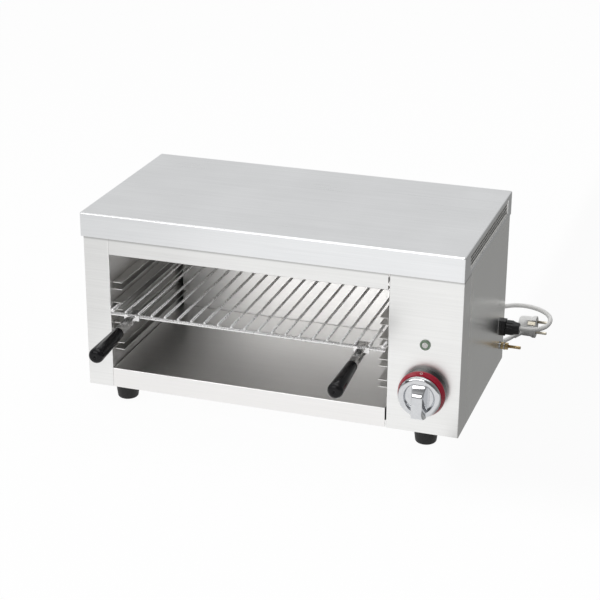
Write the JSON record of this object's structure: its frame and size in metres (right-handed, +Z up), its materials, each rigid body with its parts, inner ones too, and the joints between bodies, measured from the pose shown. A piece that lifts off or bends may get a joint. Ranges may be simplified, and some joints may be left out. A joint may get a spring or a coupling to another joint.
{
  "type": "cheese_melter",
  "caption": "Counter-top electric cheese melter in brushed steel: open grilling chamber, sliding wire rack with black grips, control knob and coiled white mains cord",
  "frame": {"origin": "centre of the cabinet in plan, on the underside of its base tray; the rubber feet reach 25 mm below it", "axes": "+X to the right along the cabinet's long side, -Y to the front where the chamber is open, +Z up"},
  "size_m": [0.6759, 0.6304, 0.3125],
  "materials": {
    "sheet_steel": "satin",
    "guide_steel": "satin",
    "element_sheath": "matte",
    "bright_wire": "polished",
    "zinc_steel": "satin",
    "black_gloss": "gloss",
    "red_gloss": "gloss",
    "knob_chrome": "polished",
    "moulded_black": "matte",
    "green_gloss": "gloss",
    "clear_lens": "gloss",
    "black_rubber": "matte",
    "bonding_brass": "polished",
    "white_plastic": "satin",
    "cord_sheath": "satin",
    "contact_metal": "polished"
  },
  "bodies": {
    "cabinet": {"top_cover": "sheet_steel", "left_casing": "sheet_steel", "control_casing": "sheet_steel", "right_side_panel": "sheet_steel", "rear_casing": "sheet_steel", "base_tray": "zinc_steel", "header_panel": "sheet_steel", "floor_pan": "sheet_steel", "cavity_left_wall": "sheet_steel", "cavity_right_wall": "sheet_steel", "cavity_back_wall": "sheet_steel", "heat_reflector": "sheet_steel", "guide_left_1": "guide_steel", "guide_left_2": "guide_steel", "guide_left_3": "guide_steel", "guide_left_4": "guide_steel", "guide_right_1": "guide_steel", "guide_right_2": "guide_steel", "guide_right_3": "guide_steel", "guide_right_4": "guide_steel", "heating_element_front": "element_sheath", "heating_element_rear": "element_sheath", "element_clips": "guide_steel", "knob_base_ring": "black_gloss", "dial_ring": "red_gloss", "energy_regulator": "moulded_black", "regulator_screws": "zinc_steel", "lamp_bezel": "green_gloss", "lamp_lens": "clear_lens", "vent_mesh_left": "guide_steel", "vent_mesh_right": "guide_steel", "foot_front_left": "black_rubber", "foot_front_right": "black_rubber", "foot_rear_left": "black_rubber", "foot_rear_right": "black_rubber", "foot_screws": "zinc_steel", "foot_nuts": "zinc_steel", "cover_screws": "zinc_steel", "casing_screws": "zinc_steel", "gland_body": "moulded_black", "gland_cap": "moulded_black", "gland_locknut": "moulded_black", "bonding_stud": "bonding_brass", "bonding_nuts": "bonding_brass", "bonding_washers": "zinc_steel", "terminal_block": "white_plastic", "supply_cord": "cord_sheath", "cord_coil": "cord_sheath", "plug_lead": "cord_sheath", "plug_body": "white_plastic", "plug_contacts": "contact_metal"},
    "rack": {"wire_rack": "bright_wire", "handle_bracket_left": "bright_wire", "handle_bracket_right": "bright_wire", "handle_grip_left": "black_gloss", "handle_grip_right": "black_gloss", "grip_screws": "zinc_steel"},
    "control_knob": {"knob": "knob_chrome", "knob_spindle": "zinc_steel"}
  },
  "joints": [
    {"name": "rack_slide", "type": "slide", "parent": "cabinet", "child": "rack", "axis": [0, -1, 0], "range_m": [0, 0.2]},
    {"name": "knob_turn", "type": "hinge", "parent": "cabinet", "child": "control_knob", "pos_m": [0.244, -0.165, 0.07], "axis": [0, 1, 0], "range_deg": [0, 280]}
  ]
}
